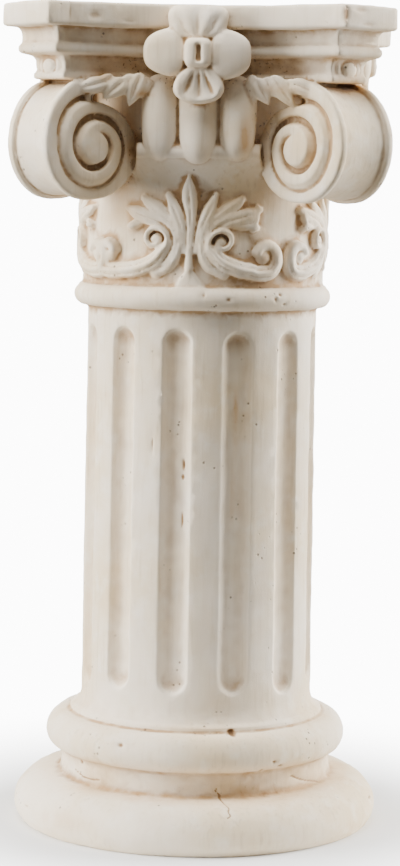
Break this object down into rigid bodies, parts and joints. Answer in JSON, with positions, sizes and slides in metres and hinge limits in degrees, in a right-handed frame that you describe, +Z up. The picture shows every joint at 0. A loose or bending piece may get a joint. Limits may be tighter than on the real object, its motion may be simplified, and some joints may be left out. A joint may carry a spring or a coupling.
{
  "type": "roman column pedestal",
  "caption": "Short fluted column pedestal cast in plaster, with a moulded round foot, carved neck, corner volutes, eggs and flowers under a hollow-sided stepped top.",
  "frame": {"origin": "middle of the round underside, on the surface that the pedestal stands on", "axes": "+Z up along the shaft; -Y out of the side of the capital that faces the viewer; X along that side"},
  "size_m": [0.328, 0.328, 0.71],
  "materials": {
    "plaster": "matte, brushed, with brown wash in the hollows"
  },
  "bodies": {
    "root": {"column_pedestal": "plaster"}
  },
  "joints": []
}
